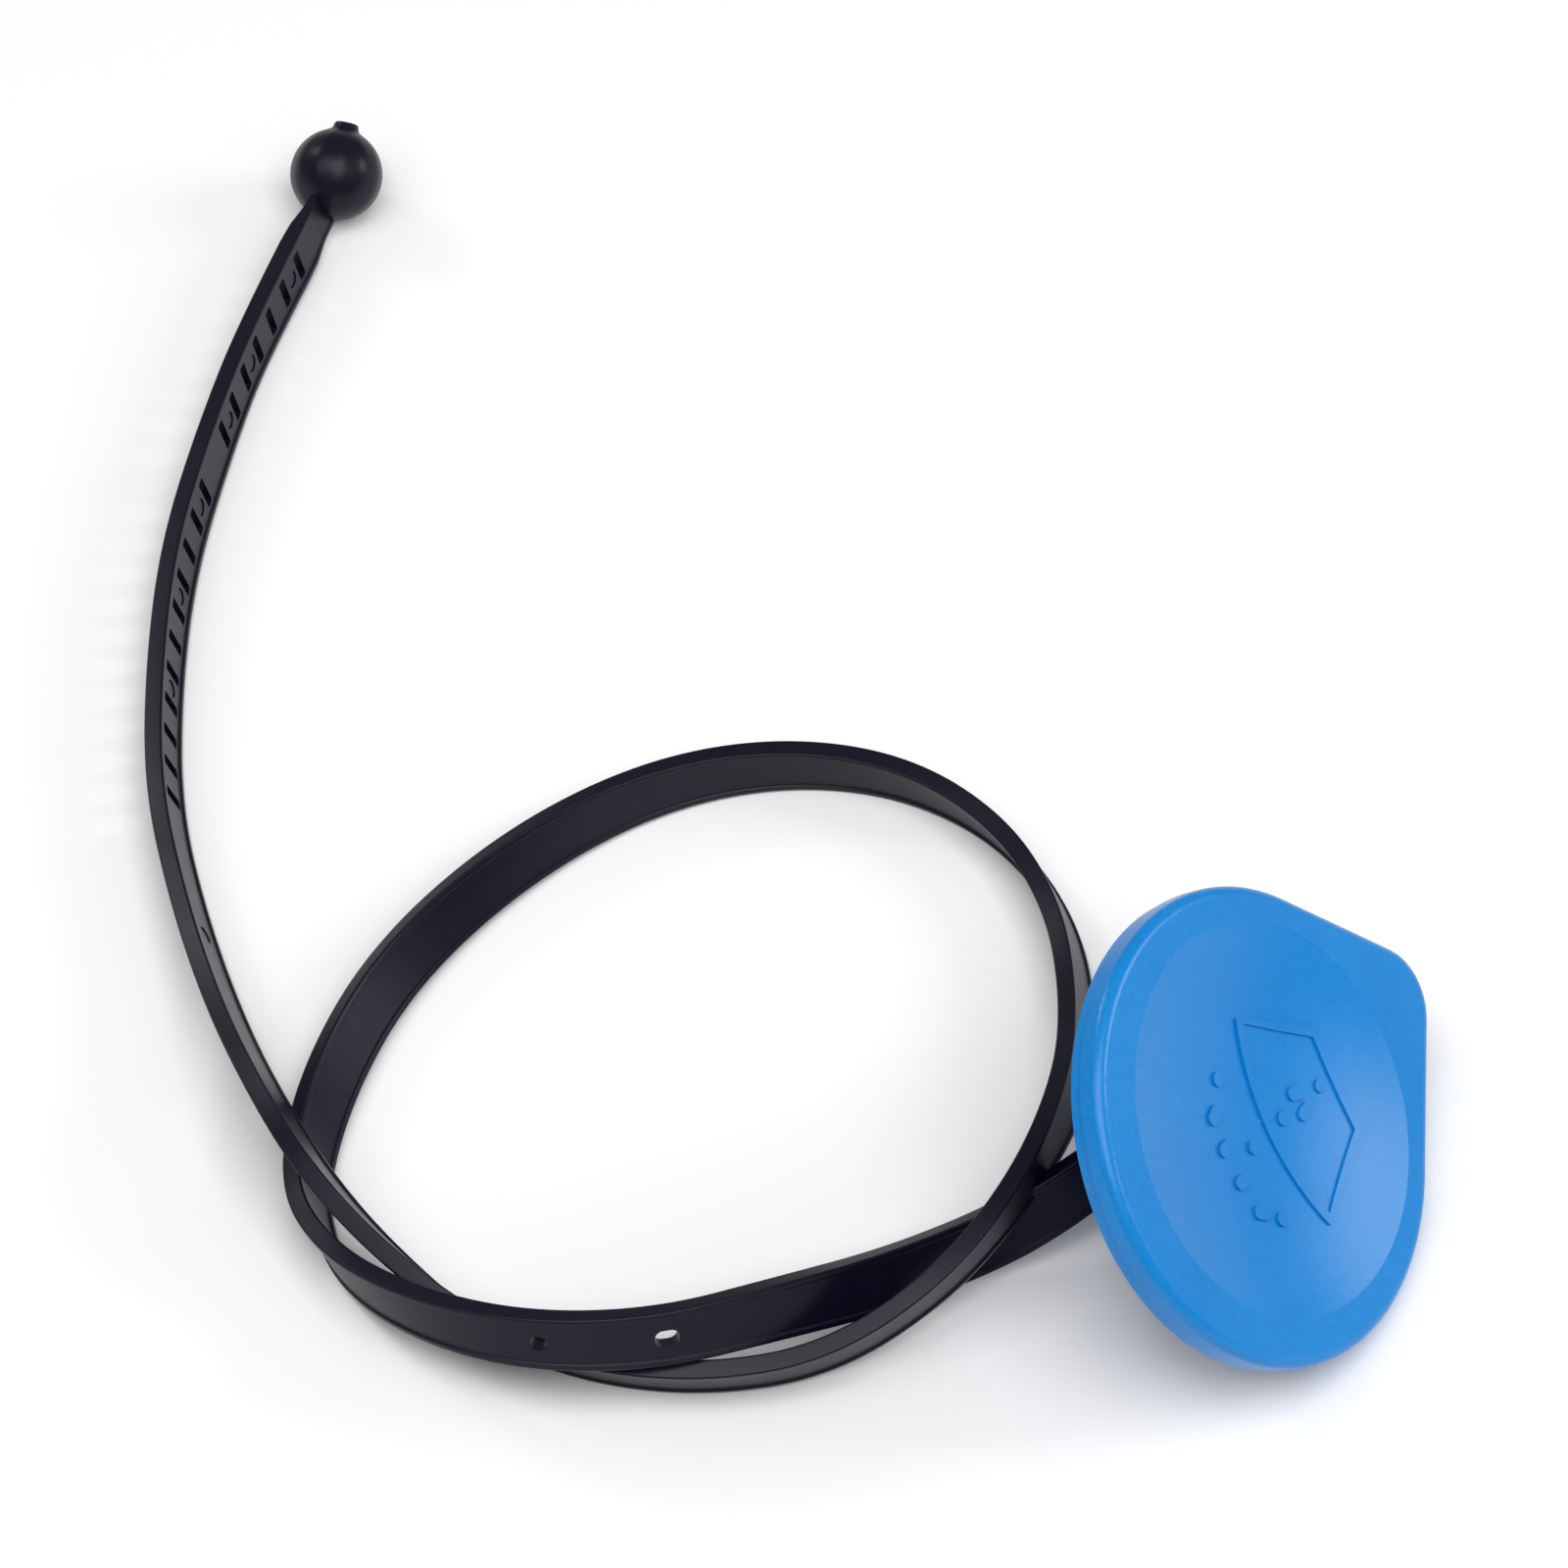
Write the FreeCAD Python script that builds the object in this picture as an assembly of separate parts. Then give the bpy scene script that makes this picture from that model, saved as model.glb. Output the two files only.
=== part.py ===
"""Windscreen-washer reservoir cap on a moulded tether strap with a ball end.

The cap stands on the edge of its lid and leans back on the stiff root of its strap. The strap lies on
edge on the table, goes once round a loop, over and under itself, and ends in the ball.
Millimetres, +Z up. The origin is on the table, under the middle of the cap's own box.
"""
import FreeCAD, Part
import math
import os

Vector = FreeCAD.Vector
AXIS = Vector(0, 0, 1)

# Lid, in its own frame: +Z out of the face, z = 0 on the rim, +X level, +Y up the slope
LID_R = 28.0             # round part of the outline
TAB_CORNER_R = 7.5       # rounding of the finger tab's corner
TAB_ANGLE = -20.0        # direction of the tab's corner, degrees from +X
TAB_HALF_ANGLE = 42.3    # from that direction to where each of the tab's edges leaves the round part
RIM_HEIGHT = 4.6         # from the face down to the rim wall's lower edge
RIM_WALL = 1.5           # thickness of the rim wall
RIM_STEP = 0.35          # how far the wall's lower part is set back
RIM_STEP_DEPTH = 2.9     # from the face down to that step
RIM_ROUND = 1.3          # rounding of the face's outer edge
FACE_THICK = 1.8         # thickness of the face
DISH_R = 23.2            # outer radius of the dished face
DISH_SHIFT = 1.5         # how far the dish's middle is moved towards the tab's corner
DISH_DEPTH = 2.6         # depth of the dish in the middle

# Raised windscreen symbol in the dish, in a frame of its own: up, and across to the left of that
SYMBOL_ANGLE = -25.0     # its up direction, degrees from the lid's +X
SYMBOL_SHIFT = -1.3      # its middle line's distance across from the lid's middle
SYMBOL_HEIGHT = 0.35
SYMBOL_LINE = 0.9        # width of the raised outline
SCREEN_TOP = 15.7        # distance of the screen's upper edge from the lid's middle
SCREEN_TOP_HALF = 6.8    # half the length of the upper edge
SCREEN_LOW = 4.2         # distance of the lower corners from the lid's middle
SCREEN_LOW_HALF = 13.4   # half the distance between the lower corners
SCREEN_BULGE = 2.1       # how far the lower edge bows down between the corners
SCREEN_LOW_NARROWING = 1.3   # loss of half width per millimetre of inset, at the lower corners
SCREEN_TOP_NARROWING = 0.9   # the same at the upper edge
DROP_R = 0.85
DROP_STRETCH = 1.0       # length of the straight part of a long drop
ROUND_DROPS = ((-1.2, -0.6), (5.4, 0.0), (13.0, 0.6), (-2.3, 8.6), (-2.3, -9.4))   # (up, across)
LONG_DROPS = ((-5.3, 5.4, 25), (-5.7, 1.4, 8), (-5.5, -3.0, -8),
              (-4.9, -7.3, -28), (9.2, -0.9, 14), (9.0, 1.6, -14))   # (up, across, turn)

# Neck plug under the lid
PLUG_R = 20.0
PAD_STEP = 0.8           # how far the pad over the plug stands out round it
PLUG_WALL = 1.6
PLUG_LENGTH = 7.5        # from the lid's pad to the plug's free edge
PLUG_LEAD_IN = 0.5       # chamfer on the free edge
SEAL_WIDTH = 3.2
SEAL_HEIGHT = 2.0
SEAL_GAP = 0.1           # between the seal and the pad that it sits round

# Swivel between the cap and the strap
SOCKET_R = 7.5
SOCKET_LENGTH = 8.0      # from the lid's pad to the socket's mouth
SOCKET_LIP = 2.4         # thickness of the snap lip at the mouth
NECK_R = 3.6             # stud's neck, which turns in the lip
NECK_GAP = 0.06          # running clearance round the neck
HEAD_R = 5.0
HEAD_HEIGHT = 2.2
HEAD_GAP = 0.4           # clearance all round the stud's head
SHOULDER_R = 5.2
SHOULDER_HEIGHT = 1.2
ROOT_LENGTH = 3.2        # block between the shoulder and the strap

# How the cap stands: its axis turned about +Z and raised from the table, degrees
CAP_TURN = -21.4
CAP_RISE = 41.6

# Strap, its outer shape as a plain ribbon on edge
STRAP_WIDTH = 7.2
STRAP_THICK = 2.3
STRAP_BURIED = 1.2       # length of each end inside the stud's root and the ball
EXIT_RUN = 6.5           # straight start of the strap along the cap's axis

# Ball on the strap's far end
BALL_R = 6.0
BALL_CENTRE = Vector(-111.7, 161.5, BALL_R)
BALL_SEAT_DROP = 1.5     # how far under the ball's middle the strap's line meets it
NUB_R = 1.6
NUB_HEIGHT = 0.8
NUB_DIRECTION = Vector(0.2, 0.8, 0.56)   # where the nub is on the ball
BALL_NECK_R = 2.3
BALL_NECK_LENGTH = 2.0
BALL_NECK_FLARE = 1.2    # the neck's radius in the ball, over its radius at the strap

ARC_SHARE = 0.45         # share of a run that each of the strap's bends takes up

# Route of the strap's middle line after its straight start
ROUTE = [
    (-22.4, -0.9, 7.0),
    (-30.1, -4.4, 4.0),
    (-42.1, -11.4, 6.2),
    (-54.1, -17.9, 10.4),
    (-68.1, -22.9, 11.4),
    (-83.1, -23.3, 11.4),
    (-96.1, -17.9, 9.0),
    (-105.9, -8.2, 4.6),
    (-110.4, 2.7, 3.8),
    (-107.9, 18.6, 3.8),
    (-100.6, 36.6, 3.8),
    (-87.1, 52.6, 3.8),
    (-71.1, 63.6, 3.8),
    (-55.1, 67.9, 3.8),
    (-39.6, 65.7, 3.8),
    (-27.6, 56.6, 3.8),
    (-20.9, 42.9, 3.9),
    (-19.1, 28.1, 5.2),
    (-20.9, 12.3, 9.8),
    (-26.9, -3.4, 12.4),
    (-35.7, -14.3, 9.6),
    (-48.5, -21.1, 4.4),
    (-62.6, -23.8, 3.8),
    (-77.1, -22.7, 3.8),
    (-90.1, -16.4, 4.4),
    (-101.1, -7.9, 8.6),
    (-108.6, 0.6, 11.6),
    (-114.1, 11.1, 11.0),
    (-119.9, 26.6, 6.0),
    (-125.4, 43.6, 3.8),
    (-129.9, 61.1, 3.8),
    (-130.3, 80.1, 3.8),
    (-129.3, 99.1, 3.8),
    (-125.6, 118.1, 3.8),
    (-120.7, 136.6, 3.8),
]


def save(shape, node):
    """Write one node's solid to its own file."""
    shape.exportStep("parts/%s.step" % node)
    print("%-14s volume %8.1f mm3  valid %s" % (node, shape.Volume, shape.isValid()))


def polar(radius, degrees):
    """Point of the lid's plane at a radius and an angle."""
    angle = math.radians(degrees)
    return Vector(radius * math.cos(angle), radius * math.sin(angle), 0)


def lid_outline(inset, bottom, top):
    """Solid of the lid's outline, moved in by inset, between two heights."""
    round_r = LID_R - inset
    corner_r = TAB_CORNER_R - inset
    spread = math.cos(math.radians(TAB_HALF_ANGLE))
    corner = polar((LID_R - TAB_CORNER_R) / spread, TAB_ANGLE)
    left, right = TAB_ANGLE + TAB_HALF_ANGLE, TAB_ANGLE - TAB_HALF_ANGLE
    near = [polar(round_r, left), corner + polar(corner_r, left)]
    far = [corner + polar(corner_r, right), polar(round_r, right)]
    edges = [
        Part.Arc(far[1], polar(round_r, TAB_ANGLE + 180), near[0]).toShape(),
        Part.LineSegment(near[0], near[1]).toShape(),
        Part.Arc(near[1], corner + polar(corner_r, TAB_ANGLE), far[0]).toShape(),
        Part.LineSegment(far[0], far[1]).toShape(),
    ]
    face = Part.Face(Part.Wire(edges))
    face.translate(Vector(0, 0, bottom))
    return face.extrude(Vector(0, 0, top - bottom))


def disc(radius, bottom, top):
    """Solid disc about the lid's axis between two heights."""
    return Part.makeCylinder(radius, top - bottom, Vector(0, 0, bottom), AXIS)


def ring(outer, inner, bottom, top):
    """Solid ring about the lid's axis between two heights."""
    return disc(outer, bottom, top).cut(disc(inner, bottom - 1, top + 1))


def dish_ball(offset):
    """Ball whose lower side is the dished face, moved up out of the lid by offset."""
    radius = (DISH_R ** 2 + DISH_DEPTH ** 2) / (2 * DISH_DEPTH)
    middle = polar(DISH_SHIFT, TAB_ANGLE) + Vector(0, 0, radius - DISH_DEPTH)
    return Part.makeSphere(radius - offset, middle)


def symbol_point(up, across):
    """Point of the symbol, up from the lid's middle and across from the symbol's middle line."""
    return polar(up, SYMBOL_ANGLE) + polar(across + SYMBOL_SHIFT, SYMBOL_ANGLE + 90)


def screen_solid(inset):
    """Prism of the windscreen's shape, moved in by inset on every side."""
    low_half = SCREEN_LOW_HALF - SCREEN_LOW_NARROWING * inset
    top_half = SCREEN_TOP_HALF - SCREEN_TOP_NARROWING * inset
    low = SCREEN_LOW + inset
    top = SCREEN_TOP - inset
    corners = [symbol_point(low, low_half), symbol_point(top, top_half)]
    corners += [symbol_point(top, -top_half), symbol_point(low, -low_half)]
    bow = symbol_point(low - SCREEN_BULGE, 0)
    edges = [Part.LineSegment(corners[i], corners[i + 1]).toShape() for i in range(3)]
    edges.append(Part.Arc(corners[3], bow, corners[0]).toShape())
    face = Part.Face(Part.Wire(edges))
    face.translate(Vector(0, 0, -2 * DISH_DEPTH))
    return face.extrude(Vector(0, 0, 2 * DISH_DEPTH))


def drop_solid(up, across, stretch, turn):
    """Prism of one water drop, stretched along a direction turned from the symbol's up."""
    along = polar(stretch / 2, SYMBOL_ANGLE + turn)
    middle = symbol_point(up, across) - Vector(0, 0, 2 * DISH_DEPTH)
    ends = [middle - along, middle + along]
    solid = Part.makeCylinder(DROP_R, 2 * DISH_DEPTH, ends[0], AXIS)
    if stretch > 0:
        other = Part.makeCylinder(DROP_R, 2 * DISH_DEPTH, ends[1], AXIS)
        block = Part.makeBox(stretch, 2 * DROP_R, 2 * DISH_DEPTH, Vector(0, -DROP_R, 0))
        block.rotate(Vector(0, 0, 0), AXIS, SYMBOL_ANGLE + turn)
        block.translate(ends[0])
        solid = solid.fuse([other, block]).removeSplitter()
    return solid


def symbol():
    """Raised outline of a windscreen and the spray under and on it."""
    prisms = [screen_solid(0).cut(screen_solid(SYMBOL_LINE))]
    for up, across in ROUND_DROPS:
        prisms.append(drop_solid(up, across, 0, 0))
    for up, across, turn in LONG_DROPS:
        prisms.append(drop_solid(up, across, DROP_STRETCH, turn))
    layer = dish_ball(0).cut(dish_ball(SYMBOL_HEIGHT))
    return [prism.common(layer) for prism in prisms]


def cap_cover():
    """Lid with its rim wall, finger tab, dished face and raised symbol."""
    upper = lid_outline(0, -RIM_STEP_DEPTH, 0)
    rim_edges = [edge for edge in upper.Edges if edge.BoundBox.ZMin > -0.01]
    upper = upper.makeFillet(RIM_ROUND, rim_edges)
    body = upper.fuse(lid_outline(RIM_STEP, -RIM_HEIGHT, -RIM_STEP_DEPTH))
    body = body.cut(lid_outline(RIM_STEP + RIM_WALL, -RIM_HEIGHT - 1, -FACE_THICK))
    body = body.fuse(disc(PLUG_R + PAD_STEP, PAD, -FACE_THICK)).removeSplitter()
    body = body.cut(dish_ball(0))
    return body.fuse(symbol())


def plug_skirt():
    """Round wall that goes into the reservoir's neck."""
    outer = disc(PLUG_R, PAD - PLUG_LENGTH, PAD)
    end = [edge for edge in outer.Edges if edge.BoundBox.ZMax < PAD - PLUG_LENGTH + 0.01]
    outer = outer.makeChamfer(PLUG_LEAD_IN, end)
    return outer.cut(disc(PLUG_R - PLUG_WALL, PAD - PLUG_LENGTH - 1, PAD + 1))


def neck_seal():
    """Flat soft ring under the face, round the pad."""
    inner = PLUG_R + PAD_STEP + SEAL_GAP
    return ring(inner + SEAL_WIDTH, inner, -FACE_THICK - SEAL_HEIGHT, -FACE_THICK)


def swivel_socket():
    """Boss with a round chamber and a snap lip that keeps the strap's stud in."""
    chamber_top = PAD
    chamber_low = MOUTH + SOCKET_LIP
    body = disc(SOCKET_R, MOUTH, PAD)
    body = body.cut(disc(HEAD_R + HEAD_GAP, chamber_low, chamber_top + 1))
    return body.cut(disc(NECK_R + NECK_GAP, MOUTH - 1, chamber_low + 1))


def swivel_stud():
    """Stud on the strap's root: head in the chamber, neck in the lip, shoulder outside it."""
    head_low = MOUTH + SOCKET_LIP + HEAD_GAP
    shoulder_top = MOUTH - HEAD_GAP
    head = disc(HEAD_R, head_low, head_low + HEAD_HEIGHT)
    neck = disc(NECK_R, shoulder_top, head_low)
    shoulder = disc(SHOULDER_R, shoulder_top - SHOULDER_HEIGHT, shoulder_top)
    root = Part.makeBox(STRAP_THICK, STRAP_WIDTH, ROOT_LENGTH,
                        Vector(-STRAP_THICK / 2, -STRAP_WIDTH / 2, ROOT_END))
    return head.fuse([neck, shoulder, root]).removeSplitter()


def stand(shapes):
    """Placement that leans the cap and puts its box's lower middle at the origin."""
    lean = FreeCAD.Rotation(AXIS, CAP_TURN)
    lean = lean.multiply(FreeCAD.Rotation(Vector(0, 1, 0), 90 - CAP_RISE))
    lean = lean.multiply(FreeCAD.Rotation(AXIS, 90))
    turned = FreeCAD.Placement(Vector(0, 0, 0), lean)
    box = FreeCAD.BoundBox()
    for shape in shapes:
        copy = shape.copy()
        copy.Placement = turned
        box.add(copy.optimalBoundingBox(False, False))
    shift = Vector(-box.Center.x, -box.Center.y, -box.ZMin)
    return FreeCAD.Placement(shift, lean)


def strap_path(points):
    """Straight runs joined by tangent arcs, each as large as its two runs allow."""
    edges = []
    start = points[0]
    for before, corner, after in zip(points, points[1:], points[2:]):
        back = before - corner
        on = after - corner
        turn = math.pi - back.getAngle(on)
        reach = ARC_SHARE * min(back.Length, on.Length)
        radius = reach / math.tan(turn / 2)
        first = corner + back.normalize() * reach
        last = corner + on.normalize() * reach
        bisector = (back + on).normalize()
        middle = corner + bisector * (radius / math.cos(turn / 2) - radius)
        edges.append(Part.LineSegment(start, first).toShape())
        edges.append(Part.Arc(first, middle, last).toShape())
        start = last
        print("strap turn %5.1f degrees  radius %6.1f mm" % (math.degrees(turn), radius))
    edges.append(Part.LineSegment(start, points[-1]).toShape())
    return Part.Wire(edges)


def tether_strap(path):
    """Ribbon on edge along the path, its width kept upright."""
    start = path.Edges[0]
    point = start.valueAt(start.FirstParameter)
    heading = start.tangentAt(start.FirstParameter)
    side = AXIS.cross(heading).normalize() * (STRAP_THICK / 2)
    half = AXIS * (STRAP_WIDTH / 2)
    corners = [point + side + half, point - side + half, point - side - half, point + side - half]
    section = Part.Wire(Part.makePolygon(corners + corners[:1]))
    pipe = Part.BRepOffsetAPI.MakePipeShell(path)
    pipe.setBiNormalMode(AXIS)
    pipe.add(section)
    pipe.build()
    pipe.makeSolid()
    return pipe.shape()


def ball_end(seat, heading):
    """Ball with a nub on its far side and a short round neck towards the strap."""
    ball = Part.makeSphere(BALL_R, BALL_CENTRE)
    nub = Part.makeCylinder(NUB_R, BALL_R + NUB_HEIGHT, BALL_CENTRE, NUB_DIRECTION)
    neck_length = BALL_R + BALL_NECK_LENGTH
    neck = Part.makeCone(BALL_NECK_FLARE * BALL_NECK_R, BALL_NECK_R, neck_length, seat, -heading)
    return ball.fuse([nub, neck]).removeSplitter()


PAD = -DISH_DEPTH - FACE_THICK                 # underside of the lid's pad
MOUTH = PAD - SOCKET_LENGTH                    # open end of the socket
ROOT_END = MOUTH - HEAD_GAP - SHOULDER_HEIGHT - ROOT_LENGTH

os.makedirs("parts", exist_ok=True)
cap = {
    "cap_cover": cap_cover(),
    "plug_skirt": plug_skirt(),
    "neck_seal": neck_seal(),
    "swivel_socket": swivel_socket(),
    "swivel_stud": swivel_stud(),
}
placement = stand(cap.values())
for node, shape in cap.items():
    shape.Placement = placement
    save(shape, node)

exit_point = placement.multVec(Vector(0, 0, ROOT_END + STRAP_BURIED))
exit_turn = placement.multVec(Vector(0, 0, ROOT_END - EXIT_RUN))
route = [exit_point, exit_turn] + [Vector(*point) for point in ROUTE]
ball_seat = BALL_CENTRE - AXIS * BALL_SEAT_DROP
ball_heading = (ball_seat - route[-1]).normalize()
strap_end = ball_seat - ball_heading * (BALL_R + BALL_NECK_LENGTH - STRAP_BURIED)
path = strap_path(route + [strap_end])
strap = tether_strap(path)
save(strap, "tether_strap")
save(ball_end(ball_seat, ball_heading), "ball_end")
section_area = STRAP_WIDTH * STRAP_THICK
print("strap length %.1f mm, volume %.1f, section times length %.1f"
      % (path.Length, strap.Volume, section_area * path.Length))
for name, point in (("face centre", Vector(0, 0, 0)), ("socket mouth", Vector(0, 0, MOUTH)),
                    ("plug mount", Vector(0, 0, PAD)), ("strap exit", Vector(0, 0, ROOT_END)),
                    ("exit turn", Vector(0, 0, ROOT_END - EXIT_RUN))):
    print(name, placement.multVec(point))
print("cap axis", placement.Rotation.multVec(AXIS))
print("strap end", strap_end)
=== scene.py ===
"""Looks of a washer-reservoir cap on its moulded tether strap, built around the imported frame.

The blue cap is CAD and gets its finish here. The strap is a mesh with an I-section, a ladder of slots
and its two anchor holes, swept along a smooth route on the table. The ball is a turned shape with a
parting line. Sizes are millimetres in the dataclasses and become metres in the meshes.
"""
import logging
import math
from dataclasses import dataclass, field
from enum import Enum

import bmesh
import bpy
from mathutils import Matrix, Vector


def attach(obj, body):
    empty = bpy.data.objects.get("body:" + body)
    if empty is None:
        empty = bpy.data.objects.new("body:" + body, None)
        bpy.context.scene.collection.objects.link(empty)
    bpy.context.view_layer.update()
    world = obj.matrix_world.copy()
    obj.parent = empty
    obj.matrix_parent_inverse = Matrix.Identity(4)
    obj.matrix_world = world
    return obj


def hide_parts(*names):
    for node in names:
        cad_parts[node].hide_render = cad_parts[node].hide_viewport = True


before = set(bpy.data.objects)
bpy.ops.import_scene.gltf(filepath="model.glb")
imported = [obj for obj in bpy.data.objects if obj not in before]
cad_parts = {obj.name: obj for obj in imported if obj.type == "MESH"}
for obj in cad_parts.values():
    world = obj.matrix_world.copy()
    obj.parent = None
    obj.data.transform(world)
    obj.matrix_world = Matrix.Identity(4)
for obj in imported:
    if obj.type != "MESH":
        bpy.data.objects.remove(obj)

MM = 0.001
UP = Vector((0, 0, 1))
TINY = 1e-6
SHARP_DEGREES = 50.0
BROAD_PATCHES_PER_METRE = 90.0
CLOUDS_PER_METRE = 45.0
FLECKS_PER_METRE = 420.0
FLECK_EDGE = 0.10
FLECK_CORE = 0.03
log = logging.getLogger("cap_and_tether")


class Side(Enum):
    """The strap's two faces, as seen walking from the cap to the ball."""

    LEFT = 1
    RIGHT = -1


def plain_mesh(obj: bpy.types.Object) -> None:
    """Make the object's modifiers permanent.

    Args:
        obj: object whose modifiers are evaluated and then removed.
    """
    graph = bpy.context.evaluated_depsgraph_get()
    graph.update()
    mesh = bpy.data.meshes.new_from_object(obj.evaluated_get(graph))
    obj.modifiers.clear()
    obj.data = mesh


def new_object(name: str, data: bpy.types.ID) -> bpy.types.Object:
    """Link a new object at the origin.

    Args:
        name: the piece's name.
        data: its mesh, curve, light or camera.

    Returns:
        The linked object.
    """
    obj = bpy.data.objects.new(name, data)
    bpy.context.scene.collection.objects.link(obj)
    return obj


def smooth(mesh: bpy.types.Mesh, sharp_degrees: float) -> None:
    """Shade a mesh smooth, with sharp edges past an angle.

    Args:
        mesh: the mesh to shade.
        sharp_degrees: angle between faces from which an edge stays sharp.
    """
    mesh.shade_smooth()
    mesh.set_sharp_from_angle(angle=math.radians(sharp_degrees))


def closed_mesh(name: str, corners: list[Vector], faces: list[tuple[int, ...]]) -> bpy.types.Mesh:
    """Make a closed mesh whose faces point outwards.

    Args:
        name: the mesh's name.
        corners: its corners, in metres.
        faces: the corners of each face, by number.

    Returns:
        The mesh.
    """
    mesh = bpy.data.meshes.new(name)
    mesh.from_pydata(corners, [], faces)
    shape = bmesh.new()
    shape.from_mesh(mesh)
    bmesh.ops.recalc_face_normals(shape, faces=shape.faces)
    shape.to_mesh(mesh)
    shape.free()
    return mesh


class NodeGroup:
    """A node group under construction, with its interface made first."""

    def __init__(self, name: str, kind: str, inputs: dict[str, tuple], outputs: dict[str, str]) -> None:
        """Make the group and its sockets.

        Args:
            name: the group's name.
            kind: ShaderNodeTree or GeometryNodeTree.
            inputs: socket type and default value by socket name.
            outputs: socket type by socket name.
        """
        self.tree = bpy.data.node_groups.new(name, kind)
        for label, (socket, value) in inputs.items():
            made = self.tree.interface.new_socket(label, in_out="INPUT", socket_type=socket)
            if value is not None:
                made.default_value = value
        for label, socket in outputs.items():
            self.tree.interface.new_socket(label, in_out="OUTPUT", socket_type=socket)
        self.into = self.tree.nodes.new("NodeGroupInput").outputs
        self.out = self.tree.nodes.new("NodeGroupOutput").inputs

    def node(self, kind: str, links: dict | None = None, **settings: object) -> bpy.types.Node:
        """Add a node.

        Args:
            kind: the node's type name.
            links: what feeds each input, by its name or index: an output socket or a value.
            settings: properties of the node itself.

        Returns:
            The new node.
        """
        return add_node(self.tree, kind, links, **settings)

    def give(self, label: str, socket: bpy.types.NodeSocket) -> None:
        """Link a socket to one of the group's outputs."""
        self.tree.links.new(socket, self.out[label])


def add_node(tree: bpy.types.NodeTree, kind: str, links: dict | None = None,
             **settings: object) -> bpy.types.Node:
    """Add a node to a tree and feed its inputs.

    Args:
        tree: the tree that gets the node.
        kind: the node's type name.
        links: what feeds each input, by its name or index: an output socket or a value.
        settings: properties of the node itself.

    Returns:
        The new node.
    """
    made = tree.nodes.new(kind)
    for label, value in settings.items():
        setattr(made, label, value)
    for label, source in (links or {}).items():
        if isinstance(source, bpy.types.NodeSocket):
            tree.links.new(source, made.inputs[label])
        else:
            made.inputs[label].default_value = source
    return made


def moulded_grain() -> bpy.types.NodeTree:
    """Group for the fine satin grain that a sparked mould leaves on plastic.

    Returns:
        The group, with a height and a roughness that vary over the surface.
    """
    group = NodeGroup(
        "moulded grain", "ShaderNodeTree",
        {"Grains per Metre": ("NodeSocketFloat", 2600.0), "Roughness": ("NodeSocketFloat", 0.4),
         "Roughness Spread": ("NodeSocketFloat", 0.1)},
        {"Height": "NodeSocketFloat", "Roughness": "NodeSocketFloat"})
    place = group.node("ShaderNodeTexCoord").outputs["Object"]
    grain = group.node("ShaderNodeTexNoise", {
        "Vector": place, "Scale": group.into["Grains per Metre"], "Detail": 3.0, "Roughness": 0.6})
    broad = group.node("ShaderNodeTexNoise", {
        "Vector": place, "Scale": BROAD_PATCHES_PER_METRE, "Detail": 4.0})
    spread = group.node("ShaderNodeMath", {0: broad.outputs["Fac"], 1: 0.5}, operation="SUBTRACT")
    rough = group.node("ShaderNodeMath", {
        0: spread.outputs[0], 1: group.into["Roughness Spread"], 2: group.into["Roughness"]},
        operation="MULTIPLY_ADD")
    group.give("Height", grain.outputs["Fac"])
    group.give("Roughness", rough.outputs[0])
    return group.tree


def moulded_tone() -> bpy.types.NodeTree:
    """Group for the slight unevenness of a moulded colour: cloudy flow, fine speckle and handling.

    Returns:
        The group, with a colour that varies over the surface.
    """
    group = NodeGroup(
        "moulded tone", "ShaderNodeTree",
        {"Colour": ("NodeSocketColor", (0.5, 0.5, 0.5, 1)), "Deep": ("NodeSocketColor", (0.4, 0.4, 0.4, 1)),
         "Dust": ("NodeSocketColor", (0.6, 0.6, 0.6, 1)), "Speckles per Metre": ("NodeSocketFloat", 1500.0),
         "Dust Amount": ("NodeSocketFloat", 0.1)},
        {"Colour": "NodeSocketColor"})
    place = group.node("ShaderNodeTexCoord").outputs["Object"]
    cloud = group.node("ShaderNodeTexNoise", {
        "Vector": place, "Scale": CLOUDS_PER_METRE, "Detail": 5.0})
    speckle = group.node("ShaderNodeTexNoise", {
        "Vector": place, "Scale": group.into["Speckles per Metre"], "Detail": 2.0})
    both = group.node("ShaderNodeMath", {0: cloud.outputs["Fac"], 1: speckle.outputs["Fac"]},
                      operation="MULTIPLY")
    share = group.node("ShaderNodeMapRange", {
        "Value": both.outputs[0], "From Min": 0.12, "From Max": 0.40})
    base = group.node("ShaderNodeMix", {
        "Factor": share.outputs["Result"], 6: group.into["Deep"], 7: group.into["Colour"]},
        data_type="RGBA")
    fleck = group.node("ShaderNodeTexVoronoi", {"Vector": place, "Scale": FLECKS_PER_METRE}, feature="F1")
    dot = group.node("ShaderNodeMapRange", {
        "Value": fleck.outputs["Distance"], "From Min": FLECK_EDGE, "From Max": FLECK_CORE})
    amount = group.node("ShaderNodeMath", {
        0: dot.outputs["Result"], 1: group.into["Dust Amount"]}, operation="MULTIPLY")
    dusty = group.node("ShaderNodeMix", {
        "Factor": amount.outputs[0], 6: base.outputs[2], 7: group.into["Dust"]}, data_type="RGBA")
    group.give("Colour", dusty.outputs[2])
    return group.tree


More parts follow.
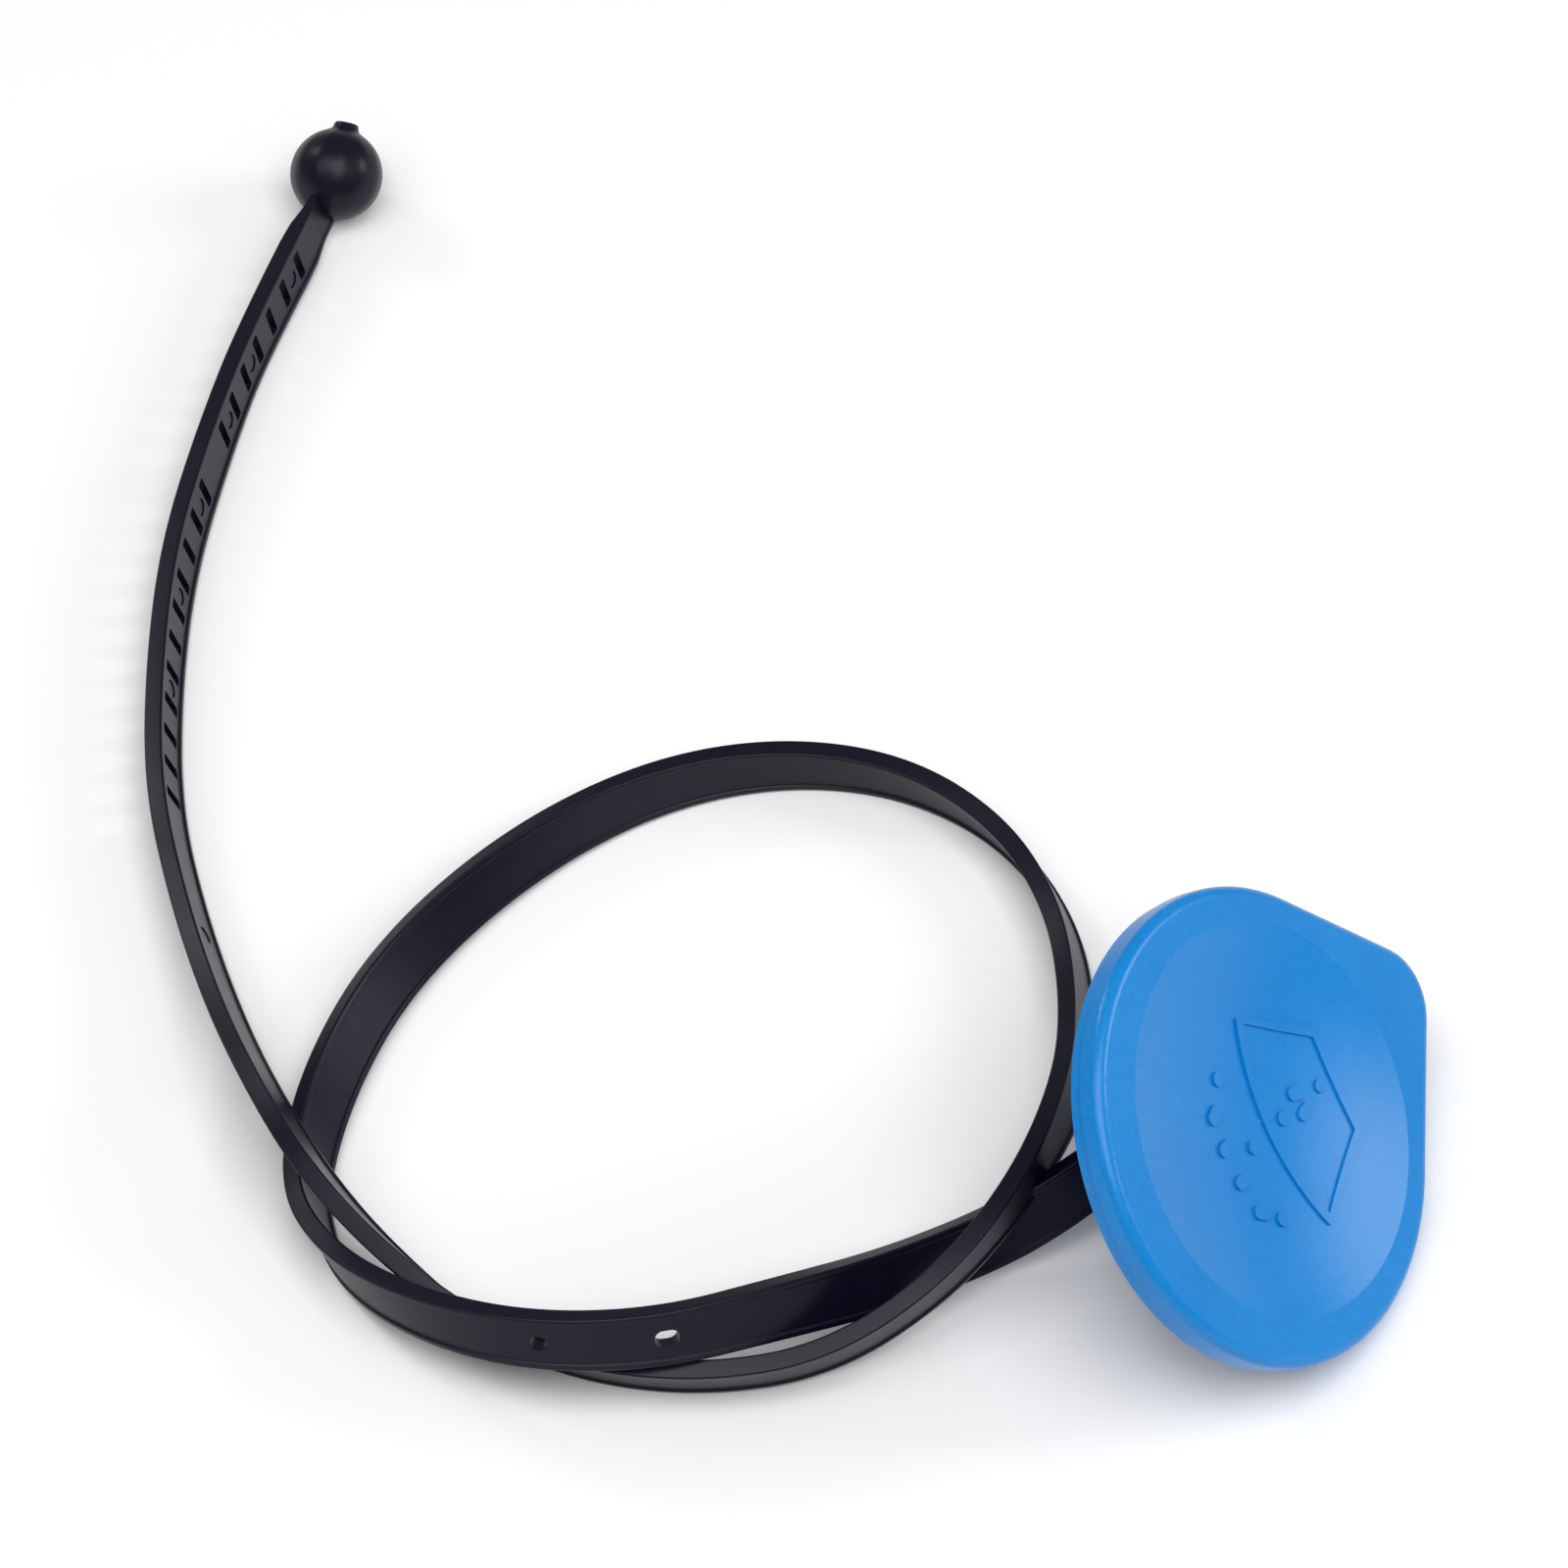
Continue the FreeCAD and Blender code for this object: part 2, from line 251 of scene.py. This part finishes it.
@dataclass(frozen=True)
class MouldedFinish:
    """A moulded plastic or rubber: colours are linear, grain depth is in millimetres."""

    name: str
    slot: str
    colour: tuple[float, float, float]
    deep: tuple[float, float, float]
    dust: tuple[float, float, float]
    roughness: float
    roughness_spread: float
    grains_per_metre: float
    grain_depth: float
    dust_amount: float
    specular: float

    def material(self, groups: dict[str, bpy.types.NodeTree]) -> bpy.types.Material:
        """Build the finish's material.

        Args:
            groups: the shared shader groups by name.

        Returns:
            The material.
        """
        made = bpy.data.materials.new(self.name)
        made.use_nodes = True
        tree = made.node_tree
        shader = tree.nodes["Principled BSDF"]
        shader.inputs["Specular IOR Level"].default_value = self.specular
        tone = add_node(tree, "ShaderNodeGroup", node_tree=groups["tone"])
        for label, value in (("Colour", self.colour), ("Deep", self.deep), ("Dust", self.dust)):
            tone.inputs[label].default_value = (*value, 1)
        tone.inputs["Dust Amount"].default_value = self.dust_amount
        grain = add_node(tree, "ShaderNodeGroup", node_tree=groups["grain"])
        grain.inputs["Grains per Metre"].default_value = self.grains_per_metre
        grain.inputs["Roughness"].default_value = self.roughness
        grain.inputs["Roughness Spread"].default_value = self.roughness_spread
        bump = add_node(tree, "ShaderNodeBump", {
            "Height": grain.outputs["Height"], "Distance": self.grain_depth * MM, "Strength": 1.0})
        tree.links.new(tone.outputs["Colour"], shader.inputs["Base Color"])
        tree.links.new(grain.outputs["Roughness"], shader.inputs["Roughness"])
        tree.links.new(bump.outputs["Normal"], shader.inputs["Normal"])
        return made


BLUE_MOULDING = MouldedFinish(
    "blue_moulding", "blue_moulding", (0.005, 0.225, 0.620), (0.003, 0.190, 0.550),
    (0.06, 0.33, 0.66), 0.25, 0.08, 2600.0, 0.005, 0.08, 0.30)
BLACK_MOULDING = MouldedFinish(
    "black_moulding", "black_moulding", (0.0050, 0.0045, 0.0150), (0.0034, 0.0030, 0.0110),
    (0.04, 0.04, 0.05), 0.34, 0.10, 3200.0, 0.006, 0.10, 0.22)
SEAL_RUBBER = MouldedFinish(
    "seal_rubber", "seal_rubber", (0.022, 0.022, 0.023), (0.013, 0.013, 0.014),
    (0.10, 0.10, 0.10), 0.68, 0.15, 1800.0, 0.015, 0.30, 0.40)


class Finishes:
    """The materials of the object, each built once."""

    def __init__(self) -> None:
        """Build the shared groups and every material."""
        groups = {"grain": moulded_grain(), "tone": moulded_tone()}
        self.made = {f.name: f.material(groups) for f in (BLUE_MOULDING, BLACK_MOULDING, SEAL_RUBBER)}

    def dress(self, obj: bpy.types.Object, finish: MouldedFinish) -> None:
        """Give an object one finish.

        Args:
            obj: a piece or a CAD node.
            finish: the finish that it gets.
        """
        obj.data.materials.clear()
        obj.data.materials.append(self.made[finish.name])


@dataclass(frozen=True)
class SoftLight:
    """A square soft light that looks at the middle of the table; sizes in metres."""

    name: str
    azimuth: float
    elevation: float
    distance: float
    size: float
    power: float


@dataclass
class Studio:
    """Camera, pale floor and soft lights. The camera looks along +Y, down at the table."""

    target: tuple[float, float, float] = (-0.0539, 0.0663, 0.0)
    distance: float = 0.950
    elevation: float = 52.0
    focal_length: float = 178.5
    sensor: float = 36.0
    clip_end: float = 20.0
    floor_half: float = 3.0
    floor_colour: tuple[float, float, float, float] = (0.93, 0.93, 0.93, 1)
    floor_roughness: float = 0.9
    world_colour: tuple[float, float, float, float] = (1.0, 1.0, 1.0, 1)
    world_strength: float = 0.28
    lights: list[SoftLight] = field(default_factory=lambda: [
        SoftLight("key_light", 20.0, 68.0, 1.3, 1.0, 11.5),
        SoftLight("side_light", 98.0, 25.0, 1.3, 0.5, 4.4),
        SoftLight("fill_light", 300.0, 62.0, 1.5, 0.9, 4.6),
        SoftLight("back_light", 232.0, 32.0, 1.6, 0.3, 2.5),
    ])

    def place(self, azimuth: float, elevation: float, distance: float) -> Matrix:
        """Placement that looks at the target.

        Args:
            azimuth: degrees, 0 in front of the object and 90 at its right.
            elevation: degrees above the table.
            distance: metres from the target.

        Returns:
            The matrix of an object whose -Z looks at the target.
        """
        turn, rise = math.radians(azimuth - 90), math.radians(elevation)
        away = Vector((math.cos(rise) * math.cos(turn), math.cos(rise) * math.sin(turn), math.sin(rise)))
        spot = Vector(self.target) + away * distance
        return Matrix.Translation(spot) @ (-away).to_track_quat("-Z", "Y").to_matrix().to_4x4()

    def build_camera(self) -> None:
        """Make the scene's camera."""
        data = bpy.data.cameras.new("camera")
        data.sensor_width = self.sensor
        data.lens = self.focal_length
        data.clip_end = self.clip_end
        camera = new_object("camera", data)
        camera.matrix_world = self.place(0, self.elevation, self.distance)
        bpy.context.scene.camera = camera

    def build_floor(self) -> None:
        """Make the pale floor, a stage and not part of the object."""
        half = self.floor_half
        mesh = bpy.data.meshes.new("floor")
        mesh.from_pydata([(-half, -half, 0), (half, -half, 0), (half, half, 0), (-half, half, 0)],
                         [], [(0, 1, 2, 3)])
        paint = bpy.data.materials.new("floor_paper")
        paint.use_nodes = True
        shader = paint.node_tree.nodes["Principled BSDF"]
        shader.inputs["Base Color"].default_value = self.floor_colour
        shader.inputs["Roughness"].default_value = self.floor_roughness
        mesh.materials.append(paint)
        new_object("floor", mesh)

    def build_lights(self) -> None:
        """Make the soft lights and the pale surroundings."""
        for light in self.lights:
            data = bpy.data.lights.new(light.name, "AREA")
            data.shape = "SQUARE"
            data.size = light.size
            data.energy = light.power
            lamp = new_object(light.name, data)
            lamp.matrix_world = self.place(light.azimuth, light.elevation, light.distance)
        world = bpy.data.worlds.new("studio")
        world.use_nodes = True
        sky = world.node_tree.nodes["Background"]
        sky.inputs["Color"].default_value = self.world_colour
        sky.inputs["Strength"].default_value = self.world_strength
        bpy.context.scene.world = world
        bpy.context.scene.view_settings.view_transform = "Standard"


@dataclass(frozen=True)
class Station:
    """One place on the strap: its middle, its heading, the way its width points and its left side."""

    middle: Vector
    heading: Vector
    width: Vector
    left: Vector


@dataclass
class StrapRoute:
    """The strap's way from the cap to the ball, as control points of a smooth spline, in millimetres.

    Each row is x, y, z and how far the strap's upper edge leans to its left, in degrees. The first
    two points lie on the cap's axis and the last one is inside the ball.
    """

    points: tuple[tuple[float, float, float, float], ...] = (
        (-9.72, 2.64, 13.11, 0), (-15.08, 4.74, 8.20, -15),
        (-22.4, -0.9, 7.0, -32), (-30.1, -4.4, 4.4, -36), (-42.1, -11.4, 6.4, -34),
        (-54.1, -17.9, 10.4, -27), (-68.1, -22.9, 11.4, -22), (-83.1, -23.3, 11.4, -17),
        (-96.1, -17.9, 9.0, -4), (-105.9, -8.2, 4.6, 12), (-110.4, 2.7, 3.8, 32),
        (-107.9, 18.6, 3.8, 43), (-100.6, 35.7, 3.8, 40), (-87.1, 51.5, 3.8, 29),
        (-71.1, 62.6, 3.8, 12), (-55.1, 66.9, 3.8, 0), (-39.4, 64.8, 3.8, -9),
        (-27.0, 55.9, 3.8, -20), (-20.4, 42.9, 3.9, -24), (-18.8, 28.1, 5.2, -24),
        (-20.5, 12.3, 9.8, -18), (-26.8, -3.4, 12.4, 0), (-35.7, -14.3, 9.6, 10),
        (-48.5, -21.1, 4.6, 16), (-62.6, -23.5, 3.8, 20), (-77.1, -21.8, 3.8, 22),
        (-90.1, -16.0, 4.4, 24), (-101.1, -7.7, 8.6, 29), (-108.6, 0.6, 11.6, 29),
        (-114.1, 11.1, 11.0, 27), (-119.9, 26.6, 6.0, 25), (-125.2, 43.6, 3.8, 21.5),
        (-129.3, 61.1, 3.8, 19), (-130.1, 80.1, 3.8, 17), (-129.2, 99.1, 3.8, 17),
        (-125.6, 118.1, 3.8, 14.5), (-121.0, 136.6, 3.8, 10.5), (-113.1, 157.5, 4.7, 15),
    )
    arm: float = 10.0
    steps_per_point: int = 12
    stations: list[Station] = field(default_factory=list)
    reached: list[float] = field(default_factory=list)

    def spline_points(self, name: str, points: list[Vector]) -> list[Vector]:
        """Points of the smooth spline that control points describe.

        Args:
            name: name of the curve that is made for it and removed again.
            points: control points in metres.

        Returns:
            The spline's points in order.
        """
        curve = bpy.data.curves.new(name, "CURVE")
        curve.dimensions = "3D"
        spline = curve.splines.new("NURBS")
        spline.points.add(len(points) - 1)
        for control, point in zip(spline.points, points):
            control.co = (*point, 1)
        spline.order_u = 3
        spline.use_endpoint_u = True
        spline.resolution_u = self.steps_per_point
        holder = new_object(name, curve)
        mesh = bpy.data.meshes.new_from_object(holder)
        found = [vertex.co.copy() for vertex in mesh.vertices]
        bpy.data.objects.remove(holder)
        bpy.data.curves.remove(curve)
        bpy.data.meshes.remove(mesh)
        return found

    def build(self) -> None:
        """Work out the stations along the strap."""
        middle = [Vector(row[:3]) * MM for row in self.points]
        upper = []
        for i, row in enumerate(self.points):
            heading = (middle[min(i + 1, len(middle) - 1)] - middle[max(i - 1, 0)]).normalized()
            left = UP.cross(heading).normalized()
            lean = math.radians(row[3])
            width = heading.cross(left) * math.cos(lean) + left * math.sin(lean)
            upper.append(middle[i] + width * self.arm * MM)
        line = self.spline_points("strap_line", middle)
        edge = self.spline_points("strap_edge", upper)
        self.stations, self.reached = [], []
        gone = 0.0
        for i, point in enumerate(line):
            after, before = line[min(i + 1, len(line) - 1)], line[max(i - 1, 0)]
            heading = (after - before).normalized()
            width = edge[i] - point
            width = (width - heading * width.dot(heading)).normalized()
            gone += (point - line[i - 1]).length if i else 0.0
            self.stations.append(Station(point, heading, width, width.cross(heading)))
            self.reached.append(gone)

    @property
    def length(self) -> float:
        """Length of the strap's middle line, in metres."""
        return self.reached[-1]

    def at(self, distance: float) -> Station:
        """The station at a distance from the cap's end.

        Args:
            distance: metres along the strap.

        Returns:
            A station between the two nearest ones.
        """
        i = next(k for k, gone in enumerate(self.reached[1:], 1) if gone >= distance)
        share = (distance - self.reached[i - 1]) / (self.reached[i] - self.reached[i - 1])
        first, second = self.stations[i - 1], self.stations[i]
        return Station(first.middle.lerp(second.middle, share),
                       first.heading.lerp(second.heading, share).normalized(),
                       first.width.lerp(second.width, share).normalized(),
                       first.left.lerp(second.left, share).normalized())


def rounded_prism_tree() -> bpy.types.NodeTree:
    """Geometry Nodes tree that sets a rounded prism on every point.

    Each point carries the attributes "across", the prism's axis, and "along", its length.

    Returns:
        The tree, with the prism's sizes as named inputs.
    """
    length = "NodeSocketFloat"
    group = NodeGroup(
        "rounded prisms", "GeometryNodeTree",
        {"Geometry": ("NodeSocketGeometry", None), "Length": (length, 0.002), "Width": (length, 0.004),
         "Corner Radius": (length, 0.0003), "Depth": (length, 0.003),
         "Material": ("NodeSocketMaterial", None)},
        {"Geometry": "NodeSocketGeometry"})
    outline = group.node("GeometryNodeCurvePrimitiveQuadrilateral", {
        "Width": group.into["Length"], "Height": group.into["Width"]})
    rounded = group.node("GeometryNodeFilletCurve", {
        "Curve": outline.outputs["Curve"], "Count": 6, "Radius": group.into["Corner Radius"],
        "Limit Radius": True}, mode="POLY")
    base = group.node("GeometryNodeFillCurve", {"Curve": rounded.outputs["Curve"]}, mode="NGONS")
    wall = group.node("GeometryNodeExtrudeMesh", {
        "Mesh": base.outputs["Mesh"], "Offset Scale": group.into["Depth"], "Individual": False})
    under = group.node("GeometryNodeFlipFaces", {"Mesh": base.outputs["Mesh"]})
    both = group.node("GeometryNodeJoinGeometry")
    group.tree.links.new(wall.outputs["Mesh"], both.inputs["Geometry"])
    group.tree.links.new(under.outputs["Mesh"], both.inputs["Geometry"])
    closed = group.node("GeometryNodeMergeByDistance", {
        "Geometry": both.outputs["Geometry"], "Distance": TINY})
    half = group.node("ShaderNodeMath", {0: group.into["Depth"], 1: -0.5}, operation="MULTIPLY")
    drop = group.node("ShaderNodeCombineXYZ", {"Z": half.outputs[0]})
    centred = group.node("GeometryNodeTransform", {
        "Geometry": closed.outputs["Geometry"], "Translation": drop.outputs["Vector"]})
    axis, run = (group.node("GeometryNodeInputNamedAttribute", {"Name": label},
                            data_type="FLOAT_VECTOR") for label in ("across", "along"))
    turn = group.node("FunctionNodeAxesToRotation", {
        "Primary Axis": axis.outputs["Attribute"], "Secondary Axis": run.outputs["Attribute"]},
        primary_axis="Z", secondary_axis="X")
    copies = group.node("GeometryNodeInstanceOnPoints", {
        "Points": group.into["Geometry"], "Instance": centred.outputs["Geometry"],
        "Rotation": turn.outputs["Rotation"]})
    real = group.node("GeometryNodeRealizeInstances", {"Geometry": copies.outputs["Instances"]})
    painted = group.node("GeometryNodeSetMaterial", {
        "Geometry": real.outputs["Geometry"], "Material": group.into["Material"]})
    group.give("Geometry", painted.outputs["Geometry"])
    return group.tree


@dataclass(frozen=True)
class Opening:
    """One shape of opening or mark in the strap's web, and where along the strap it is; millimetres."""

    name: str
    length: float
    width: float
    corner: float
    depth: float
    places: tuple[float, ...]
    from_ball: bool
    side: Side | None = None


@dataclass
class TetherStrap:
    """The moulded strap: two rails joined by a thinner web, with slots and holes through the web.

    Lengths are millimetres. Places along the strap count from the cap's end, or from the ball's
    centre for the ladder.
    """

    width: float = 7.2
    thick: float = 2.3
    rail: float = 0.75
    rail_draft: float = 0.15
    web: float = 1.8
    outer_round: float = 0.26
    inner_round: float = 0.12
    round_steps: int = 3
    web_steps: int = 4
    neck_from: float = 13.0
    neck_to: float = 5.5
    neck_thinness: float = 0.5
    neck_width: float = 0.82
    ball_depth: float = 4.2
    ladder_first: float = 15.0
    ladder_pitch: float = 4.9
    ladder_count: int = 19
    ladder_missing: int = 7
    slot_length: float = 1.5
    slot_width: float = 4.1
    slot_corner: float = 0.25
    pin_marks: tuple[float, ...] = (0.5, 3.5, 5.5, 8.5, 11.5, 14.5, 22.5)
    pin_mark_size: float = 2.3
    pin_mark_depth: float = 0.16
    oval_slot_at: float = 66.5
    oval_slot_length: float = 3.0
    oval_slot_width: float = 2.2
    oval_slot_corner: float = 1.09
    round_hole_at: float = 81.0
    round_hole_size: float = 2.1
    round_hole_corner: float = 1.045
    route: StrapRoute = field(default_factory=StrapRoute)

    def section(self) -> list[tuple[float, float]]:
        """Outline of the strap's section.

        Returns:
            Points (to the left, along the width), in millimetres, in order round the section.
        """
        half, side, web = self.width / 2, self.thick / 2, self.web / 2
        lip, foot = half - self.rail, half - self.rail - self.rail_draft
        quarter = [(side, -half, self.outer_round), (side, -lip, self.outer_round / 2),
                   (web, -foot, self.inner_round)]
        right = quarter + [(x, -y, r) for x, y, r in reversed(quarter)]
        corners = right + [(-x, -y, r) for x, y, r in right]
        points = []
        for i, (x, y, radius) in enumerate(corners):
            here = Vector((x, y))
            back = (Vector(corners[i - 1][:2]) - here).normalized()
            on = (Vector(corners[(i + 1) % len(corners)][:2]) - here).normalized()
            opening = back.angle(on) / 2
            reach = radius / math.tan(opening)
            centre = here + (back + on).normalized() * (radius / math.sin(opening))
            first, last = here + back * reach - centre, here + on * reach - centre
            for k in range(self.round_steps + 1):
                spoke = first.lerp(last, k / self.round_steps).normalized()
                points.append(centre + spoke * radius)
            after = Vector(corners[(i + 1) % len(corners)][:2])
            if abs(abs(x) - web) < TINY and abs(after.x - x) < TINY:
                start, end = points[-1], after - (after - here).normalized() * reach
                points += [start.lerp(end, k / self.web_steps) for k in range(1, self.web_steps)]
        return [(point.x, point.y) for point in points]

    def tapered(self, to_ball: float) -> tuple[float, float]:
        """Shares of the full thickness and width at a distance from the ball's centre.

        Args:
            to_ball: the distance along the strap, in millimetres.

        Returns:
            The share of the thickness and the share of the width.
        """
        share = (self.neck_from - to_ball) / (self.neck_from - self.neck_to)
        share = min(max(share, 0.0), 1.0)
        share = share * share * (3 - 2 * share)
        return 1 - (1 - self.neck_thinness) * share, 1 - (1 - self.neck_width) * share

    def sweep(self) -> bpy.types.Mesh:
        """Sweep the section along the route.

        Returns:
            A closed mesh of the whole strap, before its openings are cut.
        """
        outline = self.section()
        count = len(outline)
        corners, faces = [], []
        for station, gone in zip(self.route.stations, self.route.reached):
            thin, narrow = self.tapered((self.route.length - gone) / MM + self.ball_depth)
            for left, along in outline:
                corners.append(station.middle + station.left * left * thin * MM
                               + station.width * along * narrow * MM)
        for ring in range(len(self.route.stations) - 1):
            for k in range(count):
                a, b = ring * count + k, ring * count + (k + 1) % count
                faces.append((a, a + count, b + count, b))
        faces.append(tuple(range(count)))
        faces.append(tuple(reversed(range(len(corners) - count, len(corners)))))
        return closed_mesh("tether_strap_body", corners, faces)

    def openings(self) -> list[Opening]:
        """Every opening and mark in the web.

        Returns:
            The ladder's slots, the anchor slot and hole, and the pin marks.
        """
        ladder = tuple(self.ladder_first + self.ladder_pitch * k
                       for k in range(self.ladder_count) if k != self.ladder_missing)
        marks = tuple(self.ladder_first + self.ladder_pitch * k for k in self.pin_marks)
        through = 2 * self.thick
        return [
            Opening("ladder_slots", self.slot_length, self.slot_width, self.slot_corner, through,
                    ladder, True),
            Opening("oval_slot", self.oval_slot_length, self.oval_slot_width, self.oval_slot_corner,
                    through, (self.oval_slot_at,), False),
            Opening("round_hole", self.round_hole_size, self.round_hole_size, self.round_hole_corner,
                    through, (self.round_hole_at,), False),
            Opening("pin_marks", self.pin_mark_size, self.pin_mark_size, self.pin_mark_size / 2.01,
                    2 * self.pin_mark_depth, marks, True, Side.RIGHT),
        ]

    def cutter(self, opening: Opening, tree: bpy.types.NodeTree,
               material: bpy.types.Material) -> bpy.types.Object:
        """Make the solids that cut one kind of opening.

        Args:
            opening: its shape and places.
            tree: the Geometry Nodes tree that sets the prisms.
            material: the material of the cut faces.

        Returns:
            An object that holds the cutting solids as a plain mesh.
        """
        end = self.route.length + self.ball_depth * MM
        stations = [self.route.at(end - p * MM if opening.from_ball else p * MM)
                    for p in opening.places]
        shift = (opening.side.value * self.web / 2 * MM) if opening.side else 0.0
        mesh = bpy.data.meshes.new(opening.name)
        mesh.from_pydata([s.middle + s.left * shift for s in stations], [], [])
        for label, ways in (("across", [s.left for s in stations]),
                            ("along", [s.heading for s in stations])):
            attribute = mesh.attributes.new(label, "FLOAT_VECTOR", "POINT")
            for row, way in zip(attribute.data, ways):
                row.vector = way
        obj = new_object(opening.name, mesh)
        modifier = obj.modifiers.new("prisms", "NODES")
        modifier.node_group = tree
        sizes = {"Length": opening.length * MM, "Width": opening.width * MM,
                 "Corner Radius": opening.corner * MM, "Depth": opening.depth * MM,
                 "Material": material}
        for item in tree.interface.items_tree:
            if item.in_out == "INPUT" and item.name in sizes:
                modifier[item.identifier] = sizes[item.name]
        plain_mesh(obj)
        return obj

    def build(self, finishes: Finishes) -> bpy.types.Object:
        """Build the strap, cut its openings and dress it.

        Args:
            finishes: the object's materials.

        Returns:
            The strap's piece.
        """
        self.route.build()
        strap = new_object("tether_strap_moulding", self.sweep())
        finishes.dress(strap, BLACK_MOULDING)
        tree = rounded_prism_tree()
        for opening in self.openings():
            cutter = self.cutter(opening, tree, strap.data.materials[0])
            cut = strap.modifiers.new(opening.name, "BOOLEAN")
            cut.operation = "DIFFERENCE"
            cut.solver = "EXACT"
            cut.object = cutter
            plain_mesh(strap)
            bpy.data.objects.remove(cutter)
        smooth(strap.data, SHARP_DEGREES)
        flatter = strap.modifiers.new("flat_faces", "WEIGHTED_NORMAL")
        flatter.weight = 100
        flatter.keep_sharp = True
        plain_mesh(strap)
        return strap


@dataclass
class BallEnd:
    """The ball that the strap ends in, turned about its nub's axis; millimetres.

    Rows of nub_foot are a share of the nub's radius and a height over the edge of its foot. Rows of
    nub_top are a share of that radius and a depth under the nub's top.
    """

    centre: tuple[float, float, float] = (-111.7, 161.5, 6.0)
    heading: tuple[float, float, float] = (0.2, 0.8, 0.56)
    radius: float = 5.97
    nub_radius: float = 1.6
    nub_height: float = 0.8
    nub_foot_spread: float = 1.55
    nub_foot: tuple[tuple[float, float], ...] = ((1.22, 0.30), (1.08, 0.52))
    nub_top: tuple[tuple[float, float], ...] = ((1.0, 0.30), (0.94, 0.10), (0.82, 0.0), (0.4, 0.0))
    neck_side_degrees: float = 178.0
    flat_depth: float = 0.05
    flat_count: int = 12
    seam_width: float = 0.05
    seam_height: float = 0.03
    seam_angle: float = 14.0
    rings: int = 40
    around: int = 96

    def profile(self) -> list[tuple[float, float]]:
        """Half outline of the ball from its neck side to the middle of its nub.

        Returns:
            Points (from the axis, along the heading), in millimetres.
        """
        top = math.asin(self.nub_foot_spread * self.nub_radius / self.radius)
        low = math.radians(self.neck_side_degrees)
        points = []
        for k in range(self.rings + 1):
            angle = low + (top - low) * k / self.rings
            points.append((self.radius * math.sin(angle), self.radius * math.cos(angle)))
        rise = self.radius + self.nub_height
        foot = math.cos(top) * self.radius
        points += [(self.nub_radius * share, foot + height) for share, height in self.nub_foot]
        points += [(self.nub_radius * share, rise - depth) for share, depth in self.nub_top]
        return points

    def build(self, finishes: Finishes) -> bpy.types.Object:
        """Turn the profile into the ball and dress it.

        Args:
            finishes: the object's materials.

        Returns:
            The ball's piece.
        """
        axis = Vector(self.heading).normalized()
        side = UP.cross(axis).normalized()
        over = axis.cross(side)
        profile = self.profile()
        centre = Vector(self.centre)
        corners, faces = [], []
        for out, along in profile:
            for k in range(self.around):
                turn = 2 * math.pi * k / self.around
                off = abs(math.sin(turn - math.radians(self.seam_angle)))
                seam = self.seam_height * math.exp(-(off / self.seam_width) ** 2)
                seam *= min(out / self.radius * 2, 1)
                flat = self.flat_depth * (0.5 + 0.5 * math.cos(self.flat_count * turn)) * out / self.radius
                reach = out + seam - flat
                spoke = over * math.cos(turn) + side * math.sin(turn)
                corners.append((centre + axis * along + spoke * reach) * MM)
        count = self.around
        for ring in range(len(profile) - 1):
            for k in range(count):
                a, b = ring * count + k, ring * count + (k + 1) % count
                faces.append((a, b, b + count, a + count))
        faces.append(tuple(reversed(range(count))))
        faces.append(tuple(range(len(corners) - count, len(corners))))
        mesh = closed_mesh("ball_end_moulding", corners, faces)
        smooth(mesh, SHARP_DEGREES)
        ball = new_object("ball_end_moulding", mesh)
        finishes.dress(ball, BLACK_MOULDING)
        return ball


@dataclass
class Cap:
    """The cap's CAD nodes and the finish of each."""

    finishes: dict[str, MouldedFinish] = field(default_factory=lambda: {
        "cap_cover": BLUE_MOULDING, "plug_skirt": BLUE_MOULDING, "swivel_socket": BLUE_MOULDING,
        "neck_seal": SEAL_RUBBER, "swivel_stud": BLACK_MOULDING})

    def dress(self, finishes: Finishes) -> None:
        """Give every node its finish.

        Args:
            finishes: the object's materials.
        """
        for node, finish in self.finishes.items():
            finishes.dress(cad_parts[node], finish)
            log.info("dressed %s as %s", node, finish.name)


def tie_down(strap: bpy.types.Object, ball: bpy.types.Object) -> None:
    """Tell the frame what the strap and the ball are.

    Args:
        strap: the strap's piece.
        ball: the ball's piece.
    """
    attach(strap, "tether")
    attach(ball, "tether")
    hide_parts("tether_strap")
    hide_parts("ball_end")


def main() -> None:
    """Build the studio, the strap, the ball and the cap's finishes."""
    logging.basicConfig(level=logging.INFO, format="%(name)s: %(message)s")
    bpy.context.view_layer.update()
    studio = Studio()
    studio.build_camera()
    finishes = Finishes()
    tether = TetherStrap()
    strap = tether.build(finishes)
    log.info("strap: %.1f mm long, %d faces", tether.route.length / MM, len(strap.data.polygons))
    ball = BallEnd().build(finishes)
    log.info("ball: %d faces", len(ball.data.polygons))
    tie_down(strap, ball)
    Cap().dress(finishes)
    studio.build_floor()
    studio.build_lights()


if __name__ == "__main__":
    main()
